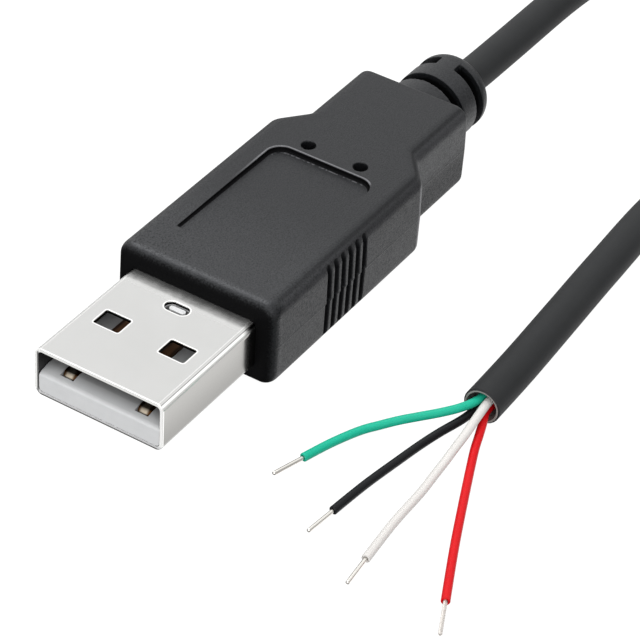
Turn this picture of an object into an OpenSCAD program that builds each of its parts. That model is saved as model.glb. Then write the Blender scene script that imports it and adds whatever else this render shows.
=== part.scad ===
/* [Metal shell] */
// Width of the folded steel shell
shell_w = 12; // [11.8:0.05:12.2]
// Height of the folded steel shell
shell_h = 4.5; // [4.4:0.05:4.6]
// Sheet thickness of the shell
shell_t = 0.3; // [0.25:0.01:0.35]
// Length of shell that stands out of the moulded grip
shell_out = 12.4; // [11.6:0.1:13]
// Length of shell buried in the moulded grip
shell_buried = 6.7; // [6:0.1:8]
// Outside bend radius along the long edges of the shell
shell_r = 0.65; // [0.55:0.05:0.85]
// Width of each latch window, across the plug
window_w = 2.4; // [2:0.1:2.6]
// Length of each latch window, along the plug
window_len = 1.9; // [1.6:0.1:2.1]

/* [Tongue and contacts] */
// Thickness of the moulded tongue
tongue_t = 1.9; // [1.8:0.02:2]
// Width of a contact strip
contact_w = 1.2; // [0.8:0.05:1.3]
// Thickness of a contact strip
contact_t = 0.3; // [0.2:0.02:0.36]

/* [Moulded grip] */
// Width of the front block of the grip
grip_w = 15.2; // [14.6:0.1:16]
// Height of the grip
grip_h = 8; // [7.6:0.1:8.6]
// Length of the front block
block_len = 22.1; // [21:0.1:26]
// Length of the tapered shoulder behind the block
shoulder_len = 2.6; // [2:0.1:4]
// Width of the neck behind the shoulder
neck_w = 11; // [10:0.1:12]
// Length of the neck
neck_len = 8.3; // [7:0.1:12]
// Rounding of the long and front edges of the grip
edge_r = 1.2; // [0.8:0.1:1.6]
// Depth of the thumb panel at its rear wall
panel_d = 0.7; // [0.4:0.1:1]
// Number of grip grooves on each side
groove_n = 6; // [3:1:7]
// Depth of a grip groove
groove_d = 0.6; // [0.25:0.05:0.7]

/* [Strain relief] */
// Diameter of the strain relief
relief_d = 7.1; // [6.2:0.1:7.2]
// Length of the strain relief behind the grip
relief_len = 7.6; // [7.2:0.1:9.5]
// Width of a flex slot in the strain relief
slot_w = 1.1; // [0.7:0.1:1.3]

/* [Cable] */
// Diameter of the cable jacket
cable_d = 3.2; // [3:0.05:3.4]
// Diameter of an insulated wire
wire_d = 0.7; // [0.6:0.05:0.8]
// Diameter of a bare conductor
conductor_d = 0.34; // [0.24:0.02:0.44]
// Length of bare conductor at each wire end
strip_len = 3.2; // [2:0.1:5]

/* [Hidden] */
$fn = 48;

// Stations along the plug axis, with the middle of the plug at x = 0
plug_len = shell_out + block_len + shoulder_len + neck_len + relief_len;
tip_x = -plug_len / 2;
front_x = tip_x + shell_out;
shell_end = front_x + shell_buried;
shoulder_x = front_x + block_len;
neck_x = shoulder_x + shoulder_len;
rear_x = neck_x + neck_len;
relief_end = rear_x + relief_len;
tongue_x = tip_x + 0.05;
mouth_x = tip_x + 9.2;
insul_end = shell_end - 1.5;
tail_end = insul_end + 3.2;
inner_end = shoulder_x + 0.6;
jacket_x = shoulder_x - 3;

// Heights; the plug axis runs at half the grip height
axis_z = grip_h / 2;
slip = 0.05;
in_w = shell_w - 2 * shell_t;
in_h = shell_h - 2 * shell_t;
in_r = shell_r - shell_t;
tongue_top = axis_z - in_h / 2 + slip + tongue_t;
contact_top = tongue_top + 0.08;
wire_z = contact_top + conductor_d / 2 + 0.06;
bead_d = 2 * (conductor_d + 0.14);

// Contact places across the plug, seen from above: power at -Y, ground at +Y
power_y = -3.5;
data_y = 1;
ground_y = 3.5;
// Setback of the contact noses from the front of the tongue
power_nose = 0.75;
data_nose = 2.85;
nose_drop = 0.35;
nose_len = 0.75;
// Lead-in slope at the front of the tongue
lead_in = 1.25;
lead_in_d = 0.35;
lead_round = 0.25;

// Places on the shell, measured from its tip
window_at = 5.05;
window_y = 3.07;
lock_at = 10.3;
lock_len = 2.2;
lock_w = 1.2;
lock_clear = 0.3;
dovetail_at = 8;
dovetail_len = 2;
dovetail_w = 1.2;

// Grooves, recessed thumb panel and core-pin marks on the grip; the grooves of the lower
// mould half sit a little further forward than those of the upper half
groove_mid = 10.7;
groove_pitch = 1.04;
groove_w = 0.57;
groove_end = 0.5;
groove_step = 0.15;
panel_front = 4.7;
panel_rear = 3.05;
panel_lip = 0.37;
panel_w = 9.75;
panel_r = 1.4;
mark_back = 1.8;
mark_y = 2.54;
mark_d = 1.25;

// Strain relief
relief_round = 1.2;
rear_round = 0.4;
web = 1.8;
slot_core = cable_d / 2 + 0.55;
slot_1 = relief_end - 5.7;
slot_2 = relief_end - 2.6;

// Wire places inside the jacket and the mouth of its cut end
lay = 0.56 * wire_d;
bore_r = 1.25;
bore_depth = 3;

// Hand-laid routes: the cable leaves the plug, lies in a coil and comes back beside the plug
coil_at = [74, -18];
coil_r = 18;
coil_z = 0.3;
tie_t = 0.3;
tie_w = 3;
floor_z = cable_d / 2;
red_more = 0.3;
near_route = [[jacket_x, 0, axis_z], [rear_x, 0, axis_z], [relief_end, 0, axis_z],
    [29.5, 0, 3.7], [36, 0, 3.55], [45, 0, 3.4], [52, 0, 2.8], [58, 0, 2.2], [63, 0, 1.9]];
far_route = [[63, -36, 5], [56, -35.2, 4.4], [49, -32.4, 3.4], [43.5, -28.8, 2.6],
    [38, -25.2, 2], [31, -22.4, floor_z], [24, -21.5, floor_z], [14, -21.8, floor_z],
    [6, -22.2, floor_z], [-1.2, -22.55, floor_z], [-7.2, -22.7, floor_z]];
cut_end = far_route[len(far_route) - 1];
function bundle(y, z) = [for (x = [bore_depth, bore_depth / 2, 0]) cut_end + [x, y * lay, z * lay]];
green_route = concat(bundle(1, 1), [[-8.7, -21.6, 1.9], [-9.8, -20.5, 1.6], [-10.7, -19.25, 1.2],
    [-11.6, -18, 0.8], [-12.7, -16.9, 0.5], [-14.1, -15.9, 0.37], [-16.6, -14.9, 0.37],
    [-19.3, -14.1, 0.37]]);
black_route = concat(bundle(1, -1), [[-8.9, -22, 1.05], [-10.9, -21.2, 0.7], [-12.8, -20.6, 0.43],
    [-15, -20.2, 0.37], [-19, -19.6, 0.37], [-23, -19.2, 0.37]]);
white_route = concat(bundle(-1, 1), [[-9.3, -23.3, 1.9], [-10.9, -23.4, 1.6], [-12.4, -23.4, 1.25],
    [-13.8, -23.4, 0.9], [-15.4, -23.4, 0.6], [-17.5, -23.5, 0.42], [-21.5, -23.6, 0.37],
    [-26, -24, 0.37]]);
red_route = concat(bundle(-1, -1), [[-8.6, -23.6, 1.05], [-9.8, -24, 0.87], [-10.9, -24.35, 0.65],
    [-12.3, -24.9, 0.45], [-14.1, -25.65, 0.37], [-17.5, -27.1, 0.37], [-21.4, -28.8, 0.37],
    [-26.4, -31.1, 0.37]]);

// Sweeps and lofts
function unit(v) = v / norm(v);
function heading(p, i) = unit(p[min(i + 1, len(p) - 1)] - p[max(i - 1, 0)]);
function spline(p, n) = let (m = len(p) - 1) concat(
    [for (i = [0:m - 1], k = [0:n - 1])
        let (t = k / n, a = p[max(i - 1, 0)], b = p[i], c = p[i + 1], d = p[min(i + 2, m)])
        b + t * (c - a) / 2 + t * t * (a - 2.5 * b + 2 * c - d / 2)
            + t * t * t * (1.5 * b - a / 2 - 1.5 * c + d / 2)],
    [p[m]]);
function hoop(c, t, r, sides) = let (side = unit(cross([0, 0, 1], t)), up = cross(t, side))
    [for (k = [0:sides - 1]) c + r * (cos(360 * k / sides) * side + sin(360 * k / sides) * up)];

module loft(rings) {
    n = len(rings[0]);
    m = len(rings);
    polyhedron(
        points = [for (r = rings) each r],
        faces = concat(
            [[for (i = [0:n - 1]) i]],
            [for (j = [0:m - 2], i = [0:n - 1])
                [j * n + i, (j + 1) * n + i, (j + 1) * n + (i + 1) % n, j * n + (i + 1) % n]],
            [[for (i = [n - 1:-1:0]) (m - 1) * n + i]]));
}

module tube(p, d) loft([for (i = [0:len(p) - 1]) hoop(p[i], heading(p, i), d / 2, 8)]);

// Section of the grip across the plug axis: rounded corners, and sides that draw in
// a little above and below the parting line at half height
corner_steps = 8;
draw_in = 0.02;
function corner(w, h, r, q) = [
    for (k = [0:corner_steps])
        let (a = 90 * q + 90 * k / corner_steps,
             sy = (q == 0 || q == 3) ? 1 : -1,
             sz = (q == 0 || q == 1) ? 1 : -1,
             y = sy * (w / 2 - r) + r * cos(a),
             z = sz * (h / 2 - r) + r * sin(a))
        [y - sy * draw_in * abs(z), z]];
function station(x, w, h, r) = [
    for (p = concat([[w / 2, 0]], corner(w, h, r, 0), corner(w, h, r, 1),
        [[-w / 2, 0]], corner(w, h, r, 2), corner(w, h, r, 3)))
        [x, p[0], axis_z + p[1]]];

// Rounded rectangle drawn flat with true arcs
module rounded_rect(w, h, r) {
    square([w - 2 * r, h], center = true);
    square([w, h - 2 * r], center = true);
    for (sx = [-1, 1], sy = [-1, 1])
        translate([sx * (w / 2 - r), sy * (h / 2 - r)]) circle(r);
}

module along_x(x, len) translate([x, 0, axis_z]) rotate([90, 0, 90]) linear_extrude(len) children();

module across_y(w) rotate([90, 0, 0]) linear_extrude(w, center = true) children();

module bar_x(x, y, z, d, len) translate([x, y, z]) rotate([0, 90, 0]) cylinder(d = d, h = len);

// Moulded grip with its strain relief, one piece of soft PVC
fillet = 0.35;
taper = (grip_w - neck_w) / 2 / shoulder_len;
function bend(a, b, c, t) = (1 - t) * (1 - t) * a + 2 * t * (1 - t) * b + t * t * c;
plan_line = concat(
    [for (k = [0:4]) bend([shoulder_x - fillet, grip_w / 2], [shoulder_x, grip_w / 2],
        [shoulder_x + fillet, grip_w / 2 - fillet * taper], k / 4)],
    [for (k = [0:4]) bend([neck_x - fillet, neck_w / 2 + fillet * taper], [neck_x, neck_w / 2],
        [neck_x + fillet, neck_w / 2], k / 4)]);
cap_steps = 7;
function capped(x, dir, w, r, a) = let (d = r * (1 - sin(a)))
    station(x + dir * r * (1 - cos(a)), w - 2 * d, grip_h - 2 * d, max(0.1, edge_r - d));

module grip_body() loft(concat(
    [for (k = [0:cap_steps]) capped(front_x, 1, grip_w, edge_r, 90 * k / cap_steps)],
    [for (p = plan_line) station(p[0], 2 * p[1], grip_h, edge_r)],
    [for (k = [cap_steps:-1:0]) capped(rear_x, -1, neck_w, rear_round, 90 * k / cap_steps)]));

module relief_body() translate([relief_end, 0, axis_z]) rotate([0, -90, 0]) rotate_extrude() {
    square([relief_d / 2 - relief_round, relief_len + 2]);
    translate([0, relief_round]) square([relief_d / 2, relief_len + 2 - relief_round]);
    translate([relief_d / 2 - relief_round, relief_round]) circle(relief_round);
}

// Pair of flex slots on opposite sides; turn 0 opens up and down, 90 to the sides
module flex_slots(x, turn) along_x(x, slot_w) rotate(turn) difference() {
    circle(relief_d / 2 + 1);
    circle(slot_core);
    square([relief_d + 4, web], center = true);
}

// Recess for the thumb: its floor falls from a low step at the front to the rear wall
module thumb_panel() {
    x0 = front_x + panel_front;
    x1 = shoulder_x - panel_rear;
    fall = (panel_d - panel_lip) / (x1 - x0);
    w = panel_w;
    r = panel_r;
    intersection() {
        across_y(w + 1) polygon([[x0 - 1, grip_h - panel_lip + fall], [x1 + 1, grip_h - panel_d - fall],
            [x1 + 1, grip_h + 1], [x0 - 1, grip_h + 1]]);
        linear_extrude(grip_h + 2) {
            translate([x0, -w / 2]) square([x1 - x0 - r, w]);
            translate([x0, -w / 2 + r]) square([x1 - x0, w - 2 * r]);
            for (s = [-1, 1]) translate([x1 - r, s * (w / 2 - r)]) circle(r);
        }
    }
}

module core_pin_marks() for (s = [-1, 1])
    translate([shoulder_x - mark_back, mark_y * s, -1]) cylinder(d = mark_d, h = grip_h + 2);

module grip_grooves() for (s = [-1, 1], i = [0:groove_n - 1], half = [0, 1])
    translate([front_x + groove_mid + groove_pitch * (i - (groove_n - 1) / 2) - half * groove_step,
        s * (grip_w / 2 - groove_d + 1), axis_z + (1 - 2 * half) * (axis_z - groove_end) / 2])
        cube([groove_w, 2, axis_z - groove_end], center = true);

module overmould() color("#2c2d2f") difference() {
    union() {
        grip_body();
        relief_body();
    }
    along_x(front_x - 1, inner_end - front_x + 1) rounded_rect(shell_w, shell_h, shell_r);
    bar_x(inner_end - 1, 0, axis_z, cable_d, relief_end - inner_end + 2);
    flex_slots(slot_1, 0);
    flex_slots(slot_2, 90);
    thumb_panel();
    core_pin_marks();
    grip_grooves();
}

// Inner mould that locks the solder joints and the end of the jacket
module inner_mould() color("#1b1b1c") difference() {
    union() {
        along_x(insul_end, shell_end - insul_end + 0.5)
            rounded_rect(in_w - 2 * slip, in_h - 2 * slip, in_r);
        along_x(shell_end, inner_end - shell_end) rounded_rect(shell_w, shell_h, shell_r);
    }
    for (y = [power_y, -data_y, data_y, ground_y]) {
        translate([insul_end - 1, y - contact_w / 2, contact_top - contact_t])
            cube([tail_end - insul_end + 1, contact_w, contact_t]);
        solder_bead(y);
        bar_x(tail_end - 2.4, y, wire_z, conductor_d, 2.8);
    }
    lead(power_y, -1, -1);
    lead(-data_y, -1, 1);
    lead(data_y, 1, 1);
    lead(ground_y, 1, -1);
    bar_x(jacket_x, 0, axis_z, cable_d, inner_end - jacket_x + 1);
}

// Folded steel shell with latch windows, a lock hole and a dovetailed seam underneath
module seam() {
    a = tip_x + dovetail_at;
    b = a + dovetail_len;
    w = dovetail_w;
    g = 0.08;
    translate([tip_x - 1, -g / 2]) square([a - tip_x + 1 + g / 2, g]);
    translate([b - g / 2, -g / 2]) square([shell_end - b + 1, g]);
    polygon([[a - g / 2, -g / 2], [a + g / 2, -g / 2], [a - w / 3 + g, w], [b + w / 3 - g, w],
        [b - g / 2, -g / 2], [b + g / 2, -g / 2], [b + w / 3, w + g], [a - w / 3, w + g]]);
}

module lock_hole(l, w) {
    square([w, l - w], center = true);
    for (s = [-1, 1]) translate([0, s * (l - w) / 2]) circle(d = w);
}

module plug_shell() color("#d4d5d6") difference() {
    along_x(tip_x, shell_end - tip_x) difference() {
        rounded_rect(shell_w, shell_h, shell_r);
        rounded_rect(in_w, in_h, in_r);
    }
    for (s = [-1, 1])
        translate([tip_x + window_at, window_y * s - window_w / 2, -1])
            cube([window_len, window_w, grip_h + 2]);
    translate([tip_x + lock_at, 0, axis_z]) linear_extrude(grip_h) lock_hole(lock_len, lock_w);
    linear_extrude(axis_z) seam();
}

// White tongue and contact carrier, with a lock boss that sits in the shell's hole
module tongue() color("#eceae4") difference() {
    union() {
        along_x(tongue_x, mouth_x - tongue_x + 1) intersection() {
            rounded_rect(in_w - 2 * slip, in_h - 2 * slip, in_r);
            translate([-in_w, -in_h]) square([2 * in_w, in_h + tongue_top - axis_z]);
        }
        along_x(mouth_x, insul_end - mouth_x) rounded_rect(in_w - 2 * slip, in_h - 2 * slip, in_r);
        translate([tip_x + lock_at, 0, axis_z]) linear_extrude(shell_h / 2 - 0.1)
            lock_hole(lock_len - 2 * lock_clear, lock_w - 2 * lock_clear);
    }
    across_y(shell_w) polygon([[tongue_x - lead_round, tongue_top - lead_in_d - 0.15],
        [tongue_x + lead_round, tongue_top - lead_in_d + 0.15],
        [tongue_x + 2 * lead_in - lead_round, tongue_top + lead_in_d - 0.15],
        [tongue_x - lead_round, tongue_top + lead_in_d - 0.15]]);
    contact_bed(power_y, power_nose);
    contact_bed(-data_y, data_nose);
    contact_bed(data_y, data_nose);
    contact_bed(ground_y, power_nose);
}

module contact_bed(y, nose) translate([0, y, 0]) {
    translate([tongue_x + nose - 0.1, -contact_w / 2 - 0.03, contact_top - nose_drop - contact_t])
        cube([1.1, contact_w + 0.06, nose_drop + contact_t + 0.1]);
    translate([tongue_x + nose + 0.4, -contact_w / 2 - 0.03, contact_top - contact_t - 0.02])
        cube([insul_end - tongue_x, contact_w + 0.06, contact_t + 0.04]);
}

// Stamped contact strip: nose bent down into the tongue, flat tail for the solder joint
module contact(y, nose) color("#c9a25a") translate([0, y, 0]) across_y(contact_w) {
    x = tongue_x + nose;
    polygon([[x, contact_top - nose_drop], [x + nose_len, contact_top], [tail_end, contact_top],
        [tail_end, contact_top - contact_t], [x + nose_len + 0.06, contact_top - contact_t],
        [x + 0.12, contact_top - nose_drop - contact_t + 0.05]]);
}

module contact_power() contact(power_y, power_nose);
module contact_data_minus() contact(-data_y, data_nose);
module contact_data_plus() contact(data_y, data_nose);
module contact_ground() contact(ground_y, power_nose);

// Solder bead on the top of a contact tail, round the bare lead end
module solder_bead(y) intersection() {
    bar_x(tail_end - 2.2, y, contact_top, bead_d, 2);
    translate([tail_end - 3, y - 1, contact_top]) cube([4, 2, 1]);
}

module solder_joints() color("#b9bcc0") difference() {
    for (y = [power_y, -data_y, data_y, ground_y]) solder_bead(y);
    lead_end_bars();
}

module lead_end_bars() for (y = [power_y, -data_y, data_y, ground_y])
    bar_x(tail_end - 2.4, y, wire_z, conductor_d, 2.8);

module lead_ends() color("#c4c0b8") lead_end_bars();

// Insulated lead from its contact tail to the jacket, an S-bend between two straight ends
function ease(a, b, t) = a + (b - a) * (1 - cos(180 * t)) / 2;
module lead(y, side, level) {
    a = tail_end + 0.4;
    b = jacket_x;
    to = [side * lay, axis_z + level * lay];
    tube(concat([[a, y, wire_z]],
        [for (k = [0:8]) let (t = k / 8)
            [a + 0.5 + (b - a - 1) * t, ease(y, to[0], t), ease(wire_z, to[1], t)]],
        [[b, to[0], to[1]]]), wire_d);
}

module lead_red() color("#c8202a") lead(power_y, -1, -1);
module lead_white() color("#e6e4de") lead(-data_y, -1, 1);
module lead_green() color("#2fa183") lead(data_y, 1, 1);
module lead_black() color("#1c1c1e") lead(ground_y, 1, -1);

// Cable: straight stretch out of the plug, one coil, and the stretch with the cut end
module cable_near() color("#303133") tube(near_route, cable_d);

module cable_coil() color("#303133") translate([coil_at[0], coil_at[1], coil_z]) rotate_extrude() {
    translate([coil_r - cable_d / 2, cable_d / 2]) square([cable_d, cable_d]);
    for (k = [1, 3]) translate([coil_r, k * cable_d / 2]) circle(d = cable_d);
}

// Twist tie: a ribbon round both turns, its ends twisted together outside the coil
module coil_tie() color("#1d1e20")
    translate([coil_at[0] + coil_r, coil_at[1], coil_z + cable_d]) difference() {
        union() {
            rotate([90, 0, 0]) linear_extrude(tie_w, center = true)
                rounded_rect(cable_d + 0.24 + 2 * tie_t, 2 * cable_d + 2 * tie_t, cable_d / 2);
            rotate([0, 70, 0]) cylinder(d = 1.2, h = cable_d / 2 + 6);
        }
        rotate([90, 0, 0]) linear_extrude(tie_w + 2, center = true)
            rounded_rect(cable_d + 0.24, 2 * cable_d, cable_d / 2);
    }

module cable_far() color("#303133") difference() {
    tube(far_route, cable_d);
    bar_x(cut_end[0] - 1, cut_end[1], cut_end[2], 2 * bore_r, bore_depth + 1);
}

module wire_red() color("#c8202a") tube(spline(red_route, 2), wire_d);
module wire_white() color("#e6e4de") tube(spline(white_route, 2), wire_d);
module wire_green() color("#2fa183") tube(spline(green_route, 2), wire_d);
module wire_black() color("#1c1c1e") tube(spline(black_route, 2), wire_d);

// Bare conductor that carries straight on from the end of a wire
module conductor(route, length) {
    e = route[len(route) - 1];
    t = e - route[len(route) - 2];
    color("#c4c0b8") translate(e) rotate([0, 90, atan2(t[1], t[0])])
        cylinder(d = conductor_d, h = length);
}

module conductor_red() conductor(red_route, strip_len + red_more);
module conductor_white() conductor(white_route, strip_len);
module conductor_green() conductor(green_route, strip_len);
module conductor_black() conductor(black_route, strip_len);

overmould();
inner_mould();
plug_shell();
tongue();
contact_power();
contact_data_minus();
contact_data_plus();
contact_ground();
solder_joints();
lead_ends();
lead_red();
lead_white();
lead_green();
lead_black();
cable_near();
cable_coil();
coil_tie();
cable_far();
wire_red();
wire_white();
wire_green();
wire_black();
conductor_red();
conductor_white();
conductor_green();
conductor_black();
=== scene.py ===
import math

import bmesh
import bpy
from mathutils import Matrix, Vector


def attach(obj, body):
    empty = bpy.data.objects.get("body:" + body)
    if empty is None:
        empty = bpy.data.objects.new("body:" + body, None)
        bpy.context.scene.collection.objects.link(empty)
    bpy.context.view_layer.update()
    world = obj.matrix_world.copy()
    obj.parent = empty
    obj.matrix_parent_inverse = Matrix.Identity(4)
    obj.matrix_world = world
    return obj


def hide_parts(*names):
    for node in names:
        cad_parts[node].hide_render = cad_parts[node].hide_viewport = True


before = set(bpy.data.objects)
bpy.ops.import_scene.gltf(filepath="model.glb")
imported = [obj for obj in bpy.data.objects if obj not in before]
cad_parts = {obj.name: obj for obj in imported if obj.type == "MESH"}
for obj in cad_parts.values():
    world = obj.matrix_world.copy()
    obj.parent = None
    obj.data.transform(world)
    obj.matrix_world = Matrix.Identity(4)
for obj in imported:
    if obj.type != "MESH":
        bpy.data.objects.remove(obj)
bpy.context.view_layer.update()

# Studio: a long lens above the plug's tip, a dark room with soft panels of light round it, and a sheet
# of white acrylic, lit a little from below, under everything. Nothing here belongs to the object.
LENS_MM, FILM_MM = 168.75, 36
CAMERA_AXES = Matrix((
    (0.54429, 0.50104, -0.67284, -0.16741),
    (-0.83736, 0.37299, -0.39963, -0.10276),
    (0.05073, 0.78092, 0.62257, 0.15118),
    (0.0, 0.0, 0.0, 1.0),
))
bpy.ops.object.camera_add()
camera = bpy.context.object
camera.data.sensor_width = FILM_MM
camera.data.lens = LENS_MM
camera.data.clip_start = 0.01
camera.matrix_world = CAMERA_AXES
bpy.context.scene.camera = camera
bpy.context.scene.view_settings.view_transform = "Standard"


class Tap:
    """One output of a finish's node tree. Sums, products and limits of taps add Math nodes."""

    def __init__(self, tree, socket=None):
        self.tree = tree
        self.socket = socket

    def node(self, kind, settings=None, sockets=None, out=0):
        made = self.tree.nodes.new("ShaderNode" + kind)
        for key, value in (settings or {}).items():
            setattr(made, key, value)
        for key, value in (sockets or {}).items():
            if isinstance(value, Tap):
                self.tree.links.new(value.socket, made.inputs[key])
            else:
                made.inputs[key].default_value = value
        return Tap(self.tree, made.outputs[out] if made.outputs else None)

    def math(self, operation, a, b=0.0):
        return self.node("Math", {"operation": operation}, {0: a, 1: b})

    def __add__(self, other):
        return self.math("ADD", self, other)

    __radd__ = __add__

    def __sub__(self, other):
        return self.math("SUBTRACT", self, other)

    def __rsub__(self, other):
        return self.math("SUBTRACT", other, self)

    def __mul__(self, other):
        return self.math("MULTIPLY", self, other)

    __rmul__ = __mul__

    def __abs__(self):
        return self.math("ABSOLUTE", self)

    def larger(self, other):
        return self.math("MAXIMUM", self, other)

    def smaller(self, other):
        return self.math("MINIMUM", self, other)

    def rise(self, low, high):
        """0 below low, 1 above high, smooth between."""
        return self.node("MapRange", {"interpolation_type": "SMOOTHSTEP"},
                         {"Value": self, "From Min": low, "From Max": high})

    def between(self, first, second):
        """Colour that goes from first to second as this tap goes from 0 to 1."""
        return self.node("Mix", {"data_type": "RGBA"}, {0: self, 6: first, 7: second}, out=2)

    def parts(self, scale):
        """X, Y and Z of this place, each times a scale."""
        split = self.node("SeparateXYZ", None, {0: self}).socket.node
        return [Tap(self.tree, socket) * scale for socket in split.outputs]

    def speckle(self, scale, detail=2.0, roughness=0.5):
        """Cloudy noise read at this place; scale is in cells per metre."""
        return self.node("TexNoise", None,
                         {"Vector": self, "Scale": scale, "Detail": detail, "Roughness": roughness})

    def stretched(self, x, y, z):
        return self.node("Mapping", {"vector_type": "POINT"}, {"Vector": self, "Scale": (x, y, z)})

    def bump(self, depth, strength=1.0):
        """Normal of a relief whose heights run from 0 to depth metres."""
        return self.node("Bump", None, {"Height": self, "Distance": depth, "Strength": strength})


def ink(code):
    """Scene-linear colour of a hex code."""
    parts = [int(code[i:i + 2], 16) / 255 for i in (1, 3, 5)]
    return tuple(p / 12.92 if p < 0.04045 else ((p + 0.055) / 1.055) ** 2.4 for p in parts) + (1.0,)


def new_finish(name):
    """Empty material, the tap that its nodes start from, and the place on the piece in metres."""
    finish = bpy.data.materials.new(name)
    finish.use_nodes = True
    finish.node_tree.nodes.clear()
    pen = Tap(finish.node_tree)
    return finish, pen, pen.node("TexCoord", out="Object")


def lay_on(pen, **sockets):
    """Ends a finish: one Principled surface with these sockets, spaces written as underscores."""
    surface = pen.node("BsdfPrincipled", None, {k.replace("_", " "): v for k, v in sockets.items()})
    pen.node("OutputMaterial", None, {"Surface": surface})


def facing(pen, aim):
    """How far the world's direction turns towards an aim, from -1 to 1."""
    way = Vector(aim).normalized()
    return pen.node("VectorMath", {"operation": "DOT_PRODUCT"},
                    {0: pen.node("TexCoord", out="Generated"), 1: way}, out="Value")


# Each panel: where it stands, the cosines at which its glow starts and is full, and its strength
ROOM_GLOW = 0.02
PANELS = {
    "overhead": ((0.50, 0.40, 0.77), 0.0, 0.95, 1.22),
    "crown": ((0.15, 0.42, 0.89), 0.93, 0.99, 4.0),
    "front": ((-0.85, -0.25, 0.46), 0.50, 0.95, 1.7),
    "strip": ((0.67, -0.59, 0.44), 0.95, 0.99, 0.45),
    "side": ((-0.25, -0.95, 0.15), 0.40, 0.95, 0.55),
    "flank": ((0.67, -0.42, -0.61), 0.80, 0.97, 1.32),
    "table": ((0.67, 0.40, -0.62), 0.85, 0.98, 0.6),
    "low": ((-0.67, 0.40, -0.62), 0.80, 0.97, 0.8),
}
room = bpy.data.worlds.new("room")
room.use_nodes = True
room.node_tree.nodes.clear()
pen = Tap(room.node_tree)
glow = ROOM_GLOW
for aim, edge, core, strength in PANELS.values():
    glow = glow + strength * facing(pen, aim).rise(edge, core)
pen.node("OutputWorld", None,
         {"Surface": pen.node("Background", None, {"Color": (1, 1, 1, 1), "Strength": glow})})
bpy.context.scene.world = room

CARD_SIDE, CARD_DROP = 4.0, 0.00002
white_card, pen, place = new_finish("white_card")
fibre = place.speckle(700.0, 4.0)
lay_on(pen, Base_Color=fibre.between(ink("#606060"), ink("#646464")), Roughness=0.9,
       Specular_IOR_Level=0.1, Emission_Color=(1, 1, 1, 1), Emission_Strength=0.97)
bpy.ops.mesh.primitive_plane_add(size=CARD_SIDE, location=(0, 0, -CARD_DROP))
card = bpy.context.object
card.name = "card"
bpy.ops.object.transform_apply(location=True)
card.data.materials.append(white_card)
card.visible_diffuse = card.visible_glossy = card.visible_shadow = False

# Cable: four insulated wires in a round black PVC jacket, extruded in one length. It leaves the
# strain relief level, sinks to the table, lies in one and a half turns held by a tie, and comes back
# beside the plug to its cut end. Places are in millimetres, as in the part's source.
PER_M = 1000
CABLE_R = 1.6
BORE_R, BORE_DEPTH, RIM_EASE = 1.33, 3.0, 0.12
near_leg = [(5, 0, 4), (18.9, 0, 4), (26.5, 0, 4), (29.5, 0, 3.7), (36, 0, 3.55), (45, 0, 3.4),
            (52, 0, 2.8), (58, 0, 2.2), (63, 0, 1.9)]
coil_at, coil_r, low_turn, high_turn = (74, -18), 18, 1.9, 5.1
coil_turns = []
for step in range(19):
    angle = math.radians(90 - 30 * step)
    climb = min(max((step - 6) / 6, 0), 1)
    coil_turns.append((coil_at[0] + coil_r * math.cos(angle), coil_at[1] + coil_r * math.sin(angle),
                       low_turn + (high_turn - low_turn) * (1 - math.cos(math.pi * climb)) / 2))
far_leg = [(63, -36, 5), (56, -35.2, 4.4), (49, -32.4, 3.4), (43.5, -28.8, 2.6), (38, -25.2, 2),
           (31, -22.4, 1.6), (24, -21.5, 1.6), (14, -21.8, 1.6), (6, -22.2, 1.6), (-1.2, -22.55, 1.6),
           (-7.2, -22.7, 1.6)]


def flowing(points, pitch):
    """Smooth line through the points, in steps of about one pitch."""
    points = [Vector(p) for p in points]
    fine = []
    for i in range(len(points) - 1):
        a, b, c, d = (points[min(max(k, 0), len(points) - 1)] for k in range(i - 1, i + 3))
        for k in range(24):
            t = k / 24
            fine.append(b + t * (c - a) / 2 + t * t * (a - 2.5 * b + 2 * c - d / 2)
                        + t ** 3 * (1.5 * b - a / 2 - 1.5 * c + d / 2))
    fine.append(points[-1])
    runs = [0.0]
    for a, b in zip(fine, fine[1:]):
        runs.append(runs[-1] + (b - a).length)
    count = max(2, round(runs[-1] / pitch))
    line, k = [], 0
    for step in range(count + 1):
        reach = runs[-1] * step / count
        while k < len(runs) - 2 and runs[k + 1] < reach:
            k += 1
        line.append(fine[k].lerp(fine[k + 1], (reach - runs[k]) / (runs[k + 1] - runs[k])))
    return line


def metres_of(line):
    return sum((b - a).length for a, b in zip(line, line[1:])) / PER_M


def only(piece):
    """Leaves edit mode and makes this piece the one that is selected and active."""
    if bpy.context.mode != "OBJECT":
        bpy.ops.object.mode_set(mode="OBJECT")
    bpy.ops.object.select_all(action="DESELECT")
    piece.select_set(True)
    bpy.context.view_layer.objects.active = piece


def pick(piece, kind, wanted):
    """Opens a piece for editing with just the wanted vertices, edges or faces selected."""
    only(piece)
    bpy.ops.object.mode_set(mode="EDIT")
    bpy.ops.mesh.select_mode(type=kind)
    bpy.ops.mesh.select_all(action="DESELECT")
    body = bmesh.from_edit_mesh(piece.data)
    for item in {"VERT": body.verts, "EDGE": body.edges, "FACE": body.faces}[kind]:
        if wanted(item):
            item.select_set(True)
    body.select_flush_mode()
    bmesh.update_edit_mesh(piece.data)


def middle(edge):
    return (edge.verts[0].co + edge.verts[1].co) / 2


def drawn_line(name, line):
    """Curve object of one straight-run spline through these places."""
    curve = bpy.data.curves.new(name, "CURVE")
    curve.dimensions = "3D"
    spline = curve.splines.new("POLY")
    spline.points.add(len(line) - 1)
    for point, spot in zip(spline.points, line):
        point.co = (*spot, 1)
    drawn = bpy.data.objects.new(name, curve)
    bpy.context.scene.collection.objects.link(drawn)
    only(drawn)
    return drawn


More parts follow.
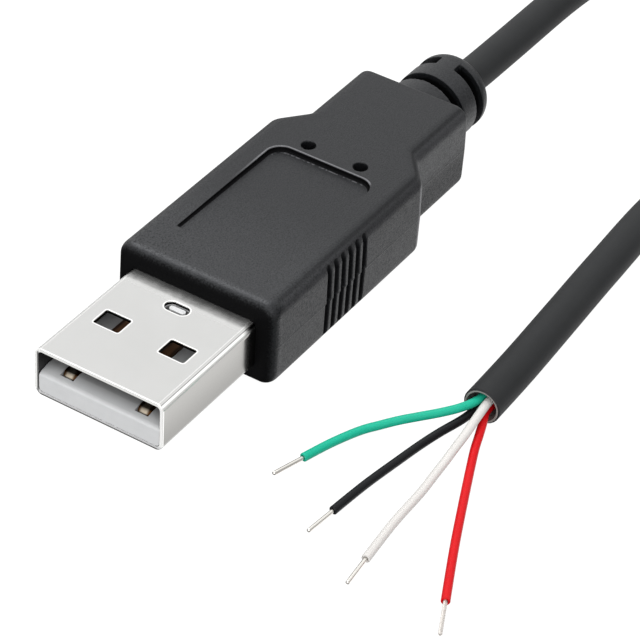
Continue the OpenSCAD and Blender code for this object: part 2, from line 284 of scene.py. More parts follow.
def drawn_tube(name, line, radius, sides):
    """Round skin drawn along a line, open at both ends; its UV map runs along and around it."""
    tube = drawn_line(name, line)
    tube.data.bevel_depth = radius
    tube.data.bevel_resolution = sides // 2 - 2
    bpy.ops.object.convert(target="MESH")
    return tube


def close_end(tube, end):
    """Fills the open end of a tube at this place."""
    pick(tube, "EDGE", lambda e: e.is_boundary and (middle(e) - end).length < 3)
    bpy.ops.mesh.edge_face_add()


def cut_end(tube, end, inward, radius, bore, depth, ease):
    """Square cut at the end of a tube: an eased outer edge, a flat rim and a bore of that depth."""
    pick(tube, "EDGE", lambda e: e.is_boundary and (middle(e) - end).length < radius * 1.2)
    bpy.ops.mesh.extrude_region_move(TRANSFORM_OT_translate={"value": -ease * inward})
    bpy.ops.transform.resize(value=(1 - ease / radius,) * 3, center_override=end)
    bpy.ops.mesh.extrude_region_move(TRANSFORM_OT_translate={"value": (0, 0, 0)})
    bpy.ops.transform.resize(value=(bore / (radius - ease),) * 3, center_override=end)
    bpy.ops.mesh.extrude_region_move(TRANSFORM_OT_translate={"value": depth * inward})
    bpy.ops.mesh.edge_face_add()


def hand_over(piece, finish, slot, *nodes, crease=32, flat_faces=False):
    """Finishes a piece: millimetres to metres, smooth shading, its finish, and its CAD nodes.
    flat_faces keeps large flat faces flat where small rounds run into them."""
    only(piece)
    bpy.ops.object.mode_set(mode="EDIT")
    bpy.ops.mesh.select_all(action="SELECT")
    bpy.ops.mesh.normals_make_consistent(inside=False)
    only(piece)
    piece.scale = (1 / PER_M,) * 3
    bpy.ops.object.transform_apply(location=True, rotation=True, scale=True)
    bpy.ops.object.shade_smooth_by_angle(angle=math.radians(crease))
    if flat_faces:
        even = piece.modifiers.new("even", "WEIGHTED_NORMAL")
        even.keep_sharp = True
        bpy.ops.object.modifier_apply(modifier=even.name)
    piece.data.materials.clear()
    for one in finish if isinstance(finish, list) else [finish]:
        piece.data.materials.append(one)
    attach(piece, "root")
    if nodes:
        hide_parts(*nodes)


def extruded_place(pen, length, radius):
    """Place on a drawn skin in metres: round it in X and Y without a seam, along it in Z."""
    run, turn, _ = pen.node("TexCoord", out="UV").parts(1)
    angle = turn * (2 * math.pi)
    return pen.node("CombineXYZ", None, {"X": pen.math("COSINE", angle) * radius,
                                         "Y": pen.math("SINE", angle) * radius, "Z": run * length})


cable_line = flowing(near_leg + coil_turns + far_leg, 1.0)
cable = drawn_tube("cable", cable_line, CABLE_R, 28)
close_end(cable, cable_line[0])
jacket_cut = cable_line[-1]
cut_heading = (cable_line[-2] - cable_line[-1]).normalized()
cut_end(cable, jacket_cut, cut_heading, CABLE_R, BORE_R, BORE_DEPTH, RIM_EASE)

jacket_pvc, pen, place = new_finish("jacket_pvc")
skin = extruded_place(pen, metres_of(cable_line), CABLE_R / PER_M)
drag = skin.stretched(1.0, 1.0, 0.02).speckle(5200.0, 3.0, 0.6)
cloud = place.speckle(420.0, 3.0)
pores = place.speckle(9000.0, 2.0, 0.6)
lay_on(pen, Base_Color=(0.6 * cloud + 0.4 * drag).between(ink("#232425"), ink("#2d2e2f")),
       Roughness=0.48 + 0.10 * drag + 0.08 * pores, Specular_IOR_Level=0.14,
       Normal=(0.6 * drag + 0.4 * pores).bump(0.000006, 0.5))

jacket_rim, pen, place = new_finish("jacket_rim")
torn = place.speckle(9000.0, 3.0, 0.6)
lay_on(pen, Base_Color=torn.between(ink("#6d6c6a"), ink("#93918e")), Roughness=0.75,
       Normal=torn.bump(0.00002))

hand_over(cable, [jacket_pvc, jacket_rim], "jacket_pvc", "cable_near", "cable_coil", "cable_far")
for face in cable.data.polygons:
    spot = face.center * PER_M - jacket_cut
    off_axis = spot - spot.dot(cut_heading) * cut_heading
    if spot.length < BORE_DEPTH + 0.5 and off_axis.length < CABLE_R - RIM_EASE - 0.03:
        face.material_index = 1

# Wires: stranded copper in coloured PVC, four of them, fanned out of the cut jacket and laid on the
# table. Their insulation is stripped back with a square cut.
WIRE_R, WIRE_BORE, WIRE_BORE_DEPTH, WIRE_EASE = 0.36, 0.2, 0.5, 0.04
LAY = 0.392
mouth = Vector(far_leg[-1])


def fan_out(side, level, *spots):
    """Line of one wire, from its place inside the jacket to its stripped end."""
    inside = [mouth + Vector((x, side * LAY, level * LAY)) for x in (3.0, 1.5, 0.0)]
    return flowing(inside + list(spots), 0.3)


wire_lines = {
    "green": fan_out(1, 1, (-8.7, -21.6, 1.9), (-9.8, -20.5, 1.6), (-10.7, -19.25, 1.2), (-11.6, -18, 0.8),
                     (-12.7, -16.9, 0.5), (-14.1, -15.9, 0.37), (-16.6, -14.9, 0.37), (-19.3, -14.1, 0.37)),
    "black": fan_out(1, -1, (-8.9, -22, 1.05), (-10.9, -21.2, 0.7), (-12.8, -20.6, 0.43),
                     (-15, -20.2, 0.37), (-19, -19.6, 0.37), (-23, -19.2, 0.37)),
    "white": fan_out(-1, 1, (-9.3, -23.3, 1.9), (-10.9, -23.4, 1.6), (-12.4, -23.4, 1.25),
                     (-13.8, -23.4, 0.9), (-15.4, -23.4, 0.6), (-17.5, -23.5, 0.42), (-21.5, -23.6, 0.37),
                     (-26, -24, 0.37)),
    "red": fan_out(-1, -1, (-8.6, -23.6, 1.05), (-9.8, -24, 0.87), (-10.9, -24.35, 0.65),
                   (-12.3, -24.9, 0.45), (-14.1, -25.65, 0.37), (-17.5, -27.1, 0.37), (-21.4, -28.8, 0.37),
                   (-26.4, -31.1, 0.37)),
}
wire_inks = {"green": ("#12a081", "#22b193"), "black": ("#0c0d10", "#17181b"),
             "white": ("#cbc8c5", "#d5d3d0"), "red": ("#c2050e", "#d00a14")}


def insulation(colour, length):
    """Thin-wall PVC: even colour with faint draw lines and a soft shine."""
    finish, pen, place = new_finish("insulation_" + colour)
    skin = extruded_place(pen, length, WIRE_R / PER_M)
    drag = skin.stretched(1.0, 1.0, 0.03).speckle(3600.0, 2.0, 0.5)
    cloud = skin.speckle(900.0, 3.0)
    deep, fair = wire_inks[colour]
    lay_on(pen, Base_Color=(0.55 * cloud + 0.45 * drag).between(ink(deep), ink(fair)),
           Roughness=0.36 + 0.10 * drag, Specular_IOR_Level=0.16)
    return finish


wires = []
for colour, line in wire_lines.items():
    wire = drawn_tube(colour + "_wire", line, WIRE_R, 16)
    close_end(wire, line[0])
    inward = (line[-2] - line[-1]).normalized()
    cut_end(wire, line[-1], inward, WIRE_R, WIRE_BORE, WIRE_BORE_DEPTH, WIRE_EASE)
    hand_over(wire, insulation(colour, metres_of(line)), "insulation_" + colour, "wire_" + colour)
    wires.append(wire)

# Bare conductors: seven copper strands, left where the insulation was stripped. Three of them are
# dipped in tin to one smooth rod with a round tip; the red wire's strands are tinned and only twisted.
STRAND_R, STRAND_TURNS, STRAND_TAPER = 0.057, 2.4, 0.55
ROD_R = 0.165
STRIP, RED_STRIP, BURIED = 3.2, 3.5, 0.4


def tin_coat(name, tin, underside_ink, metal, haze):
    """Tin over copper, coppery and darker towards the underside."""
    finish, pen, place = new_finish(name)
    _, _, height = place.parts(PER_M)
    lower_tone = (0.5 * place.speckle(2600.0, 3.0, 0.6) + 2.6 * (WIRE_R - height)).rise(0.22, 0.50)
    lay_on(pen, Base_Color=lower_tone.between(ink(tin), ink(underside_ink)), Metallic=metal,
           Roughness=haze + 0.14 * place.speckle(7000.0), Normal=place.speckle(9000.0).bump(0.000005, 0.5))
    return finish


tinned_copper = tin_coat("tinned_copper", "#e2dfd9", "#b98e6b", 1.0, 0.16)
frosted_tin = tin_coat("frosted_tin", "#dcd7d2", "#cbb4a4", 0.55, 0.36)


def primitive(kind, name, **size):
    """New mesh primitive with its place and size applied."""
    if bpy.context.mode != "OBJECT":
        bpy.ops.object.mode_set(mode="OBJECT")
    bpy.ops.object.select_all(action="DESELECT")
    getattr(bpy.ops.mesh, f"primitive_{kind}_add")(**size)
    piece = bpy.context.object
    piece.name = piece.data.name = name
    bpy.ops.object.transform_apply(location=True, rotation=True, scale=True)
    return piece


def work(piece, kind, **settings):
    """Adds a modifier with these settings and applies it."""
    only(piece)
    step = piece.modifiers.new(kind.lower(), kind)
    for key, value in settings.items():
        setattr(step, key, value)
    bpy.ops.object.modifier_apply(modifier=step.name)


def tinned_rod(name, length):
    """Round rod along X from the origin, with a round tip and a slight thickening of the tin."""
    rod = primitive("circle", name, vertices=20, radius=ROD_R, rotation=(0, math.pi / 2, 0))
    pick(rod, "EDGE", lambda e: True)
    steps = [(0.9, 1.0), (0.9, 1.02), (length - 2.1, 0.97)]
    steps += [(ROD_R * (math.sin(a) - math.sin(b)), math.cos(a) / math.cos(b))
              for a, b in ((k * math.pi / 14, (k - 1) * math.pi / 14) for k in range(1, 7))]
    reach = 0.0
    for run, swell in steps:
        reach += run
        bpy.ops.mesh.extrude_region_move(TRANSFORM_OT_translate={"value": (run, 0, 0)})
        bpy.ops.transform.resize(value=(1, swell, swell), center_override=(reach, 0, 0))
    bpy.ops.mesh.edge_face_add()
    pick(rod, "EDGE", lambda e: e.is_boundary)
    bpy.ops.mesh.edge_face_add()
    only(rod)
    return rod


def twisted_strands(name, length):
    """Six strands round a straight one, along X from the origin, drawn together at the tip."""
    strands = primitive("circle", name, vertices=10, radius=STRAND_R, rotation=(0, math.pi / 2, 0))
    for k in range(6):
        a = k * math.pi / 3
        outer = primitive("circle", "strand", vertices=10, radius=STRAND_R, rotation=(0, math.pi / 2, 0),
                          location=(0, 2 * STRAND_R * math.cos(a), 2 * STRAND_R * math.sin(a)))
        outer.select_set(True)
        strands.select_set(True)
        bpy.context.view_layer.objects.active = strands
        bpy.ops.object.join()
    work(strands, "SCREW", axis="X", angle=2 * math.pi * STRAND_TURNS, screw_offset=length, steps=40,
         render_steps=40, use_normal_calculate=True)
    pick(strands, "EDGE", lambda e: e.is_boundary)
    bpy.ops.mesh.fill_holes(sides=0)
    pick(strands, "VERT", lambda v: v.co.x > length - 0.02)
    bpy.ops.transform.resize(value=(1, STRAND_TAPER, STRAND_TAPER), center_override=(length, 0, 0))
    only(strands)
    return strands


conductors = []
for colour, line in wire_lines.items():
    if colour == "red":
        core, finish = twisted_strands("red_strands", RED_STRIP + BURIED), frosted_tin
    else:
        core, finish = tinned_rod(colour + "_rod", STRIP + BURIED), tinned_copper
    out = (line[-1] - line[-2]).normalized()
    core.location = line[-1] - BURIED * out
    core.rotation_euler = (0, 0, math.atan2(out.y, out.x))
    bpy.ops.object.transform_apply(location=True, rotation=True)
    hand_over(core, finish, "tinned_copper", "conductor_" + colour, crease=50)
    conductors.append(core)

# Twist tie: a black plastic ribbon with a wire inside, once round both turns of the coil, its two
# ends twisted together outside it.
TIE_LOOP, TIE_ROUND, RIBBON_T = (4.04, 3.0, 7.0), 1.7, 0.3
TAIL_SIZE, TAIL_OUT, TAIL_TWIST, TAIL_LEAN = (1.05, 0.5, 6.0), 4.8, 1000, 70
tie_at = (coil_at[0] + coil_r, coil_at[1], (low_turn + high_turn) / 2)
tie = primitive("cube", "twist_tie", size=1, location=tie_at, scale=TIE_LOOP)


def runs_along(edge, axis):
    """True for an edge that is parallel to axis 0, 1 or 2."""
    span = edge.verts[1].co - edge.verts[0].co
    return abs(span[axis]) > 0.999 * span.length


def round_edges(piece, axis, radius, segments):
    """Rounds the edges of a piece that are parallel to axis 0, 1 or 2."""
    pick(piece, "EDGE", lambda e: runs_along(e, axis))
    bpy.ops.mesh.bevel(offset=radius, segments=segments, affect="EDGES")


def open_ends(piece, axis):
    """Takes away the faces of a piece that look along axis 0, 1 or 2."""
    pick(piece, "FACE", lambda f: abs(f.normal[axis]) > 0.9)
    bpy.ops.mesh.delete(type="FACE")


round_edges(tie, 1, TIE_ROUND, 9)
open_ends(tie, 1)
work(tie, "SOLIDIFY", thickness=RIBBON_T, offset=-1, use_even_offset=True)
tail = primitive("cube", "tie_tail", size=1, location=(0, 0, TAIL_OUT), scale=TAIL_SIZE)
pick(tail, "EDGE", lambda e: runs_along(e, 2))
bpy.ops.mesh.subdivide(number_cuts=60)
work(tail, "SIMPLE_DEFORM", deform_method="TWIST", deform_axis="Z", angle=math.radians(TAIL_TWIST))
only(tail)
tail.rotation_euler = (0, math.radians(TAIL_LEAN), 0)
tail.location = tie_at
bpy.ops.object.transform_apply(location=True, rotation=True)


def carve(piece, tool, operation="DIFFERENCE"):
    """Cuts the tool out of the piece, or joins it on, and throws the tool away."""
    work(piece, "BOOLEAN", object=tool, operation=operation, solver="EXACT")
    bpy.data.objects.remove(tool)


carve(tie, tail, "UNION")
tie_black, pen, place = new_finish("tie_black")
ribs = place.speckle(5200.0, 3.0, 0.6)
lay_on(pen, Base_Color=ribs.between(ink("#141516"), ink("#2b2d30")), Roughness=0.35 + 0.2 * ribs,
       Normal=ribs.bump(0.00001, 0.6))
hand_over(tie, tie_black, "tie_black", "coil_tie")

[p / PER_M for p in cable_line]
wires + conductors + [tie]

# Shell: nickel-plated steel sheet, stamped with latch windows and a lock hole, and folded into a box
# whose edges meet in a dovetailed seam underneath. Its rear third is buried in the grip.
TIP, SHELL_END, AXIS_Z = -26.5, -7.4, 4.0
GRIP_FRONT = -14.1
SHELL_W, SHELL_H, SHEET, SHELL_ROUND = 12.0, 4.5, 0.3, 0.65
WINDOW_X, WINDOW_Y, WINDOW_LEN, WINDOW_W, WINDOW_ROUND = TIP + 6.0, 3.07, 1.9, 2.4, 0.18
LOCK_X, LOCK_LEN, LOCK_W = TIP + 10.3, 2.2, 1.2
SEAM_Z, SEAM_GAP, EDGE_EASE = 1.8, 0.035, 0.07
seam_places = [(TIP + 0.3, 0, SEAM_Z), (TIP + 8, 0, SEAM_Z), (TIP + 7.6, 1.2, SEAM_Z),
               (TIP + 10.4, 1.2, SEAM_Z), (TIP + 10, 0, SEAM_Z), (SHELL_END + 1, 0, SEAM_Z)]
shell = primitive("cube", "shell", size=1, location=((TIP + SHELL_END) / 2, 0, AXIS_Z),
                  scale=(SHELL_END - TIP, SHELL_W, SHELL_H))
round_edges(shell, 0, SHELL_ROUND, 10)
open_ends(shell, 0)
work(shell, "SOLIDIFY", thickness=SHEET, offset=-1, use_even_offset=True)
for side in (-1, 1):
    window = primitive("cube", "window", size=1, location=(WINDOW_X, side * WINDOW_Y, AXIS_Z),
                       scale=(WINDOW_LEN, WINDOW_W, 2 * SHELL_H))
    round_edges(window, 2, WINDOW_ROUND, 4)
    carve(shell, window)


def oval(name, long, wide, low, high, x):
    """Upright prism with round ends, longer across the plug."""
    prism = primitive("cube", name, size=1, location=(x, 0, (low + high) / 2),
                      scale=(wide, long, high - low))
    round_edges(prism, 2, wide / 2 - 0.01, 10)
    only(prism)
    return prism


carve(shell, oval("lock_hole", LOCK_LEN, LOCK_W, AXIS_Z, AXIS_Z + SHELL_H, LOCK_X))
seam = drawn_line("seam", seam_places)
seam.data.extrude = 1.0
bpy.ops.object.convert(target="MESH")
work(seam, "SOLIDIFY", thickness=SEAM_GAP, offset=0)
carve(shell, seam)


def ease_edges(piece, width, segments, angle=50, clamp=True):
    """Small bevel on every edge sharper than this angle."""
    work(piece, "BEVEL", width=width, segments=segments, limit_method="ANGLE",
         angle_limit=math.radians(angle), use_clamp_overlap=clamp)


ease_edges(shell, EDGE_EASE, 3)


def past(reach, half):
    """How far a reach lies beyond a half width, never below 0."""
    return (abs(reach) - half).larger(0.0)


def long_side(a, b):
    return a.math("SQRT", a * a + b * b)


def from_lock(along, across):
    """Distance out from the rim of the lock hole."""
    return long_side(along - LOCK_X, past(across, (LOCK_LEN - LOCK_W) / 2)) - LOCK_W / 2


# Where the shell is bright or matt: distances in from its faces, back from its tip and off its cut rims.
# Its white lines along the long bends, edges and cut rims are painted highlights; its darker sides,
# the dark line along each bend and its near-black inside are painted shade.
shell_nickel, pen, place = new_finish("shell_nickel")
along, across, level = place.parts(PER_M)
in_side = SHELL_W / 2 - abs(across)
in_face = SHELL_H / 2 - abs(level - AXIS_Z)
from_tip = along - TIP
ahead = GRIP_FRONT - along
from_window = long_side(past(along - WINDOW_X, WINDOW_LEN / 2 - WINDOW_ROUND),
                        past(abs(across) - WINDOW_Y, WINDOW_W / 2 - WINDOW_ROUND)) - WINDOW_ROUND
from_rim = from_window.smaller(from_lock(along, across)).smaller(from_tip)
outside = 1 - in_face.rise(0.07, 0.13).smaller(in_side.rise(0.08, 0.15))
free = ahead.rise(0.4, 1.7)
# fold_highlight: a painted highlight, a white line along each long bend of the sheet
fold_highlight = free * (1 - abs(in_side - 0.28).rise(0.22, 0.28))
# crease: a painted shade line, darker, beside the white line on each long bend
crease = 1 - abs(in_side - 0.42).rise(0.04, 0.10)
# edge_highlight: a painted highlight along the rounded long edges of top and bottom, ahead of the grip
edge_highlight = free * (1 - abs(in_face - 0.22).rise(0.06, 0.11)) * (1 - in_side.rise(0.28, 0.32))
shaded = across.rise(5.60, 5.66) * (1 - across.rise(5.78, 5.84)) * (1 - level.rise(5.8, 6.1))
lip = 1 - from_tip.rise(0.03, 0.08)
rim_light_and_shade = (outside * (1 - from_rim.rise(0.06, 0.18))).larger(edge_highlight).larger(lip * (1 - 0.8 * shaded))
rolled = place.stretched(0.03, 1.0, 1.0).speckle(14000.0, 3.0, 0.6)
smear = place.speckle(260.0, 4.0, 0.6)
pits = place.speckle(5200.0, 1.0).rise(0.74, 0.80)
damp = (1 - ahead.rise(1.2, 2.0)) * (0.25 + 0.75 * ahead.rise(0.2, 1.0)) * level.rise(6.0, 6.2)
damp = damp * (0.2 + 0.75 * place.stretched(1.0, 0.6, 1.0).speckle(1500.0, 3.0, 0.6))

plate = (0.7 * smear + 0.3 * pits).between(ink("#cdcdcc"), ink("#bebebc"))
# The sides are painted darker than the top, and darker again towards the bottom: painted shade.
flank = level.rise(1.8, 6.2).between(ink("#8d8c89"), ink("#a9a8a5"))
plate = (1 - in_side.rise(0.02, 0.08)).between(plate, flank)
# The inner faces of the sheet are painted near black, painted shade.
plate = outside.between(ink("#1e1d1c"), (0.85 * fold_highlight).between(plate, ink("#f2f2f0")))
plate = (0.5 * crease).between(plate, ink("#7a7a78"))
# The cut rims, long edges and tip's lip are painted near white, a painted highlight; the foot of the tip's
# lip is painted dark, painted shade.
lower_lip = level.rise(1.83, 1.92).between(ink("#3a3936"), ink("#d3d3d4"))
rim = (lip * (1 - level.rise(2.05, 2.25))).between(ink("#f8f8f6"), lower_lip)
lay_on(pen, Base_Color=rim_light_and_shade.between(plate, rim),
       Metallic=1 - 0.65 * fold_highlight - 0.35 * edge_highlight - 0.75 * damp,
       Roughness=0.10 + 0.06 * smear + 0.04 * rolled,
       Normal=(0.5 * rolled + 0.4 * smear - 0.6 * pits).bump(0.0000012, 0.5))
hand_over(shell, shell_nickel, "shell_nickel", "plug_shell", crease=40, flat_faces=True)

# Tongue: one white PBT moulding that fills the lower half of the shell's mouth and carries the
# contacts, with a full-height block behind it and a boss that snaps into the shell's lock hole.
TONGUE_X, MOUTH_X, BLOCK_END = -26.45, -17.3, -8.9
TONGUE_W, TONGUE_LOW, TONGUE_TOP, TONGUE_ROUND, BLOCK_H = 11.3, 2.06, 4.0, 0.35, 3.8
NOSE_ROUND, TONGUE_EASE, OVERLAP = 0.13, 0.04, 1
CONTACT_TOP, CONTACT_T, CONTACT_W, CONTACT_GAP = 4.08, 0.3, 1.2, 0.03
contact_places = {"power": (-3.5, 0.75), "data_minus": (-1.0, 2.85), "data_plus": (1.0, 2.85),
                  "ground": (3.5, 0.75)}
tongue = primitive("cube", "tongue_moulding", size=1,
                   location=((TONGUE_X + MOUTH_X + OVERLAP) / 2, 0, (TONGUE_LOW + TONGUE_TOP) / 2),
                   scale=(MOUTH_X + OVERLAP - TONGUE_X, TONGUE_W, TONGUE_TOP - TONGUE_LOW))
for spot, slope in (((TONGUE_X, 0, 3.65), (-0.15, 0, 0.25)), ((TONGUE_X + 0.25, 0, 3.8), (-0.2, 0, 1.0))):
    pick(tongue, "FACE", lambda f: True)
    bpy.ops.mesh.bisect(plane_co=spot, plane_no=slope, use_fill=True, clear_outer=True)
pick(tongue, "EDGE", lambda e: runs_along(e, 1) and middle(e).x < TONGUE_X + 0.4 and middle(e).z > 3)
bpy.ops.mesh.bevel(offset=NOSE_ROUND, segments=4, affect="EDGES")
pick(tongue, "EDGE", lambda e: runs_along(e, 0) and middle(e).z < 2.2)
bpy.ops.mesh.bevel(offset=TONGUE_ROUND, segments=4, affect="EDGES")
block = primitive("cube", "block", size=1, location=((MOUTH_X + BLOCK_END) / 2, 0, AXIS_Z),
                  scale=(BLOCK_END - MOUTH_X, TONGUE_W, BLOCK_H))
round_edges(block, 0, TONGUE_ROUND, 4)
carve(tongue, block, "UNION")
carve(tongue, oval("moat", LOCK_LEN - 0.04, LOCK_W - 0.04, AXIS_Z + 0.7, AXIS_Z + 2, LOCK_X))
carve(tongue, oval("lock_boss", 1.45, 0.5, AXIS_Z, AXIS_Z + 2.05, LOCK_X + 0.06), "UNION")
for y, nose in contact_places.values():
    start, high = TONGUE_X + nose, CONTACT_TOP + 0.02
    for x0, x1, low in ((start - 0.1, start + 1.0, CONTACT_TOP - 0.65),
                        (start + 0.4, BLOCK_END + 1, CONTACT_TOP - 0.32)):
        bed = primitive("cube", "bed", size=1, location=((x0 + x1) / 2, y, (low + high) / 2),
                        scale=(x1 - x0, CONTACT_W + 2 * CONTACT_GAP, high - low))
        carve(tongue, bed)
ease_edges(tongue, TONGUE_EASE, 2)

tongue_white, pen, place = new_finish("tongue_white")
flow = place.stretched(0.25, 1.0, 1.0).speckle(900.0, 3.0)
grain = place.speckle(12000.0, 2.0)
along, across, level = place.parts(PER_M)
from_tip = along - TIP
# moat_shade: the moat round the lock boss is painted dark, painted shade; shade: the tongue is painted
# darker a little behind its tip, also painted shade.
moat_shade = (1 - from_lock(along, across).rise(-0.04, 0.02)) * (1 - level.rise(5.8, 5.9))
shade = from_tip.rise(0.3, 1.9) * (1 - from_tip.rise(2.9, 3.9))
white = flow.between(ink("#c8c9ca"), ink("#d3d4d5"))
lay_on(pen, Base_Color=moat_shade.larger(0.5 * shade).between(white, ink("#2b2622")),
       Roughness=0.42 + 0.12 * grain, Normal=grain.bump(0.000003, 0.5))
hand_over(tongue, tongue_white, "tongue_white", "tongue", crease=50, flat_faces=True)

# Contacts: four phosphor-bronze strips with a thin gold flash, stamped, with the nose bent down into
# the tongue; the outer two reach further forward so that power meets first.
TAIL_END, NOSE_LEN = -5.7, 0.8
contact_brass, pen, place = new_finish("contact_brass")
tarnish = place.speckle(1500.0, 4.0, 0.6)
rub = place.stretched(0.05, 1.0, 1.0).speckle(12000.0, 2.0)
along, across, _ = place.parts(PER_M)
from_middle = abs(abs(across) - 1.0).smaller(abs(abs(across) - 3.5))
copper = (along - TIP).rise(2.5, 4.0)
bright = copper.between(tarnish.between(ink("#cbc4b9"), ink("#ac9b80")), ink("#8f6647"))
# Each strip is painted dark along its edges, painted shade, and stays light along its middle.
lay_on(pen, Base_Color=from_middle.rise(0.18, 0.46).between(bright, ink("#4a3018")),
       Metallic=1.0 - 0.6 * copper, Roughness=0.24 + 0.18 * tarnish + 0.06 * rub,
       Normal=rub.bump(0.000002, 0.5))


def contact_strip(name, y, nose):
    """Strip from its bent nose to its solder tail."""
    x = TONGUE_X + nose
    strip = primitive("cube", name, size=1,
                      location=((x + NOSE_LEN + TAIL_END) / 2, y, CONTACT_TOP - CONTACT_T / 2),
                      scale=(TAIL_END - x - NOSE_LEN, CONTACT_W, CONTACT_T))
    pick(strip, "FACE", lambda f: f.normal.x < -0.9)
    for run, drop, slim in ((0.3, 0.03, 1.0), (0.24, 0.14, 0.92), (0.14, 0.15, 0.88)):
        bpy.ops.mesh.extrude_region_move(TRANSFORM_OT_translate={"value": (-run, 0, -drop)})
        bpy.ops.transform.resize(value=(1, slim, 0.93), center_override=(x, y, CONTACT_TOP - 0.45))
    only(strip)
    work(strip, "BEVEL", width=0.04, segments=3, limit_method="ANGLE", angle_limit=math.radians(18))
    return strip


for name, (y, nose) in contact_places.items():
    strip = contact_strip("strip_" + name, y, nose)
    hand_over(strip, contact_brass, "contact_brass", "contact_" + name, crease=50, flat_faces=True)

# Solder, lead ends and leads: each bare lead end lies in a bead of solder on its contact's tail, and
# the four insulated leads gather into the jacket. They keep the shapes of the source.
solder, pen, place = new_finish("solder")
frost = place.speckle(3000.0, 4.0)
lay_on(pen, Base_Color=frost.between(ink("#c3c6c9"), ink("#989ca1")), Metallic=1.0,
       Roughness=0.25 + 0.3 * frost, Normal=frost.bump(0.00001))


def dress(node, finish):
    """Gives a CAD node's own object its finish."""
    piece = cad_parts[node]
    piece.data.materials.clear()
    piece.data.materials.append(finish)


dress("solder_joints", solder)
dress("lead_ends", tinned_copper)
for colour, (deep, fair) in wire_inks.items():
    finish, pen, place = new_finish("lead_" + colour)
    haze = place.speckle(1500.0, 3.0)
    lay_on(pen, Base_Color=haze.between(ink(deep), ink(fair)), Roughness=0.36 + 0.12 * haze,
           Normal=place.speckle(9000.0).bump(0.000004, 0.5))
    dress("lead_" + colour, finish)

# Inner mould: a first shot of black polyethylene that locks the joints and the end of the jacket
# before the grip is moulded over it. It shows only at the bottom of the core-pin holes.
inner_pe, pen, place = new_finish("inner_pe")
haze = place.speckle(2200.0, 3.0)
lay_on(pen, Base_Color=haze.between(ink("#0e0e0f"), ink("#1a1a1c")), Roughness=0.5 + 0.2 * haze,
       Normal=haze.bump(0.00001))
dress("inner_mould", inner_pe)

# Grip: soft black PVC moulded over the shell's end and the cable in one shot, with a recessed thumb
# panel, grooved sides, two core-pin holes on each face and a slotted strain relief. The tool's faces are
# spark-eroded, so the skin has a fine grain, and every edge is a little round. Its front is painted darker
# and duller, as painted shade.
GRIP_TOP, SHOULDER_X, NECK_X, NECK_END = 8, 8.0, 10.6, 18.9
PANEL_FRONT, PANEL_REAR, PANEL_W, PANEL_ROUND = -9.4, 4.95, 9.75, 1.4
PANEL_DEPTH_SHARE = 0.62
PIN_X, PIN_Y, PIN_R = 6.2, 2.54, 0.6
VOXEL, GRIP_TRIANGLES = 0.08, 190000
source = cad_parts["overmould"]
grip = bpy.data.objects.new("grip", source.data.copy())
bpy.context.scene.collection.objects.link(grip)
only(grip)
grip.scale = (PER_M,) * 3
bpy.ops.object.transform_apply(scale=True)
bpy.ops.mesh.customdata_custom_splitnormals_clear()
pick(grip, "VERT", lambda v: True)
bpy.ops.mesh.remove_doubles(threshold=0.002)


def on_panel_floor(vertex):
    x, y, z = vertex.co
    return PANEL_FRONT - 0.6 < x < PANEL_REAR + 0.15 and abs(y) < PANEL_W / 2 + 0.075 and 6.9 < z < 7.9


pick(grip, "VERT", on_panel_floor)
bpy.ops.transform.resize(value=(1, 1, PANEL_DEPTH_SHARE), center_override=(0, 0, GRIP_TOP))
work(grip, "REMESH", mode="VOXEL", voxel_size=VOXEL, adaptivity=0.0)
work(grip, "SMOOTH", factor=0.5, iterations=1)
work(grip, "DECIMATE", decimate_type="COLLAPSE", ratio=GRIP_TRIANGLES / (2 * len(grip.data.polygons)))

grip_pvc, pen, place = new_finish("grip_pvc")
along, across, level = place.parts(PER_M)
behind = along - GRIP_FRONT
width = abs(across)
depth = abs(level - AXIS_Z)
outline_front = PANEL_FRONT - 2.8  # past the panel's front, so that only its sides and rear count
outline_x = (PANEL_REAR + outline_front) / 2
outline_half = (PANEL_REAR - outline_front) / 2
out_of_panel = long_side(past(along - outline_x, outline_half - PANEL_ROUND),
                         past(across, PANEL_W / 2 - PANEL_ROUND)) - PANEL_ROUND
from_pin = long_side(along - PIN_X, width - PIN_Y)
grain = place.speckle(7000.0, 3.0, 0.65)
cloud = place.speckle(500.0, 3.0)
pores = place.speckle(7600.0, 2.0, 0.7).rise(0.42, 0.66)
parting = 1 - depth.rise(0.02, 0.08)
relief = (grain + 0.2 * cloud + 0.4 * parting).bump(0.00004, 0.8)

# Painted highlights: the panel's rear lip, glints at the foot of its rear wall, the shoulder's corners and
# the lower half of the round between top and sides
ahead_of_relief = 1 - along.rise(NECK_END - 0.5, NECK_END - 0.1)
lip = (1 - abs(out_of_panel - 0.09).rise(0.05, 0.11)) * along.rise(-2.0, 4.0)
lip = lip * level.rise(7.7, 7.9) * across.rise(-4.7, -4.3)
low = 1 - level.rise(7.65, 7.85)
glints = (1 - abs(out_of_panel + 0.30).rise(0.03, 0.08)) * along.rise(3.6, 4.0) * across.rise(-4.0, -3.6)
glints = glints * low * place.speckle(3200.0, 2.0, 0.6).rise(0.45, 0.55)
corner = (1 - abs(along - SHOULDER_X).rise(0.25, 0.45)) * width.rise(6.9, 7.2) * (1 - level.rise(7.0, 7.4))
bend = (1 - level.rise(7.89, 7.94)) * level.rise(6.6, 7.4) * behind.rise(1.3, 1.9) * ahead_of_relief
bend = bend * out_of_panel.rise(0.2, 0.4) * from_pin.rise(0.8, 1.0)
painted_highlights = lip.larger(0.8 * glints).larger(corner).larger(0.13 * bend * low)
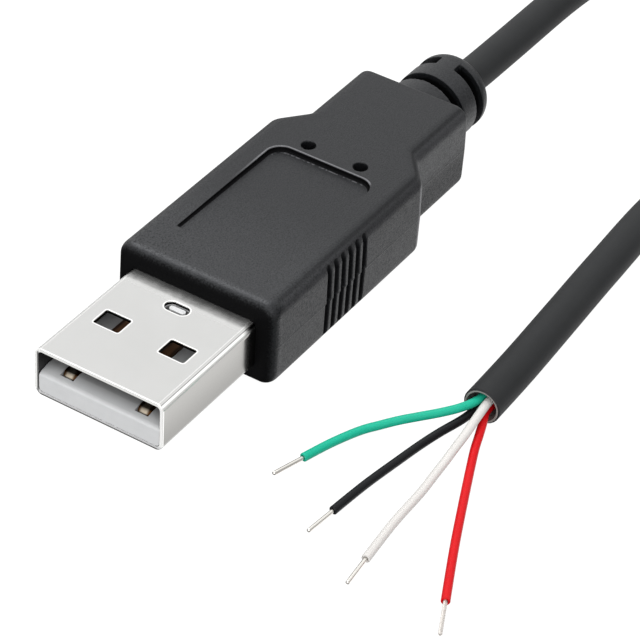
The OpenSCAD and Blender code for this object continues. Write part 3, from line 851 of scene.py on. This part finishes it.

# Painted shade, mixed in as a darker, duller copy of the skin: the front, what lies deep, the rear of the
# top, the sides and the upper half of the round between top and sides. The neck is also darker and duller
# below its middle, and pores and coarse grain near the front are mixed in the same way.
front = 1 - (behind + 0.7 * grain).rise(0.5, 1.1)
pin_holes = 1 - from_pin.rise(PIN_R - 0.06, PIN_R + 0.06)
wall = (1 - abs(out_of_panel + 0.06).rise(0.10, 0.16)) * along.rise(PANEL_FRONT, PANEL_FRONT + 0.4)
wall = wall * across.rise(-4.4, -4.0).larger(along.rise(3.6, 4.0))
slots = (1 - long_side(across, level - AXIS_Z).rise(2.9, 3.3)) * along.rise(19.0, 19.2)
sunk = (pin_holes + wall) * (1 - depth.rise(3.91, 3.98)) + slots
top = level.rise(7.0, 7.8)
rear = along.rise(-11.0, 0.0) * top
block_side = width.rise(6.8, 7.4) * (1 - along.rise(7.5, 9.0))
neck_side = width.rise(5.0, 5.3) * along.rise(NECK_X - 0.2, NECK_X + 0.4) * ahead_of_relief
coarse = place.speckle(5000.0, 2.0, 0.7).rise(0.42, 0.62) - 0.45
rough = (1 - behind.rise(1.1, 10.1)) * across.rise(-4.0, 7.0) * top
shade_and_grain = 0.25 * rear + 0.2 * block_side + 0.17 * bend * (1 - low) + 0.5 * rough * coarse
shade_and_grain = shade_and_grain + 0.36 * neck_side * (1 - level.rise(2.8, 5.2)) + 0.34 * pores * (1 - 0.55 * rear)

black = (0.6 * cloud + 0.4 * grain).between(ink("#101113"), ink("#191a1c"))
ridge = 1 - abs(behind - 1.0).rise(0.1, 0.5)
# lit_pvc carries the painted highlights; shaded_pvc is a darker, duller copy of it, mixed in as painted
# shade.
lit_pvc = pen.node("BsdfPrincipled", None, {
    "Base Color": painted_highlights.between(black, ink("#77777a")),
    "Roughness": 0.30 + 0.08 * cloud + 0.14 * grain - 0.12 * ridge, "Specular IOR Level": 0.48,
    "Specular Tint": (0.94, 0.96, 1.0, 1.0), "Normal": relief})
shaded_pvc = pen.node("BsdfPrincipled", None, {
    "Base Color": grain.between(ink("#040405"), ink("#09090a")), "Roughness": 0.55 + 0.2 * grain,
    "Specular IOR Level": 0.06, "Normal": relief})
blend = pen.node("MixShader", None, {0: front.larger(sunk).larger(shade_and_grain), 1: lit_pvc, 2: shaded_pvc})
pen.node("OutputMaterial", None, {"Surface": blend})
hand_over(grip, grip_pvc, "grip_pvc", "overmould", crease=60)
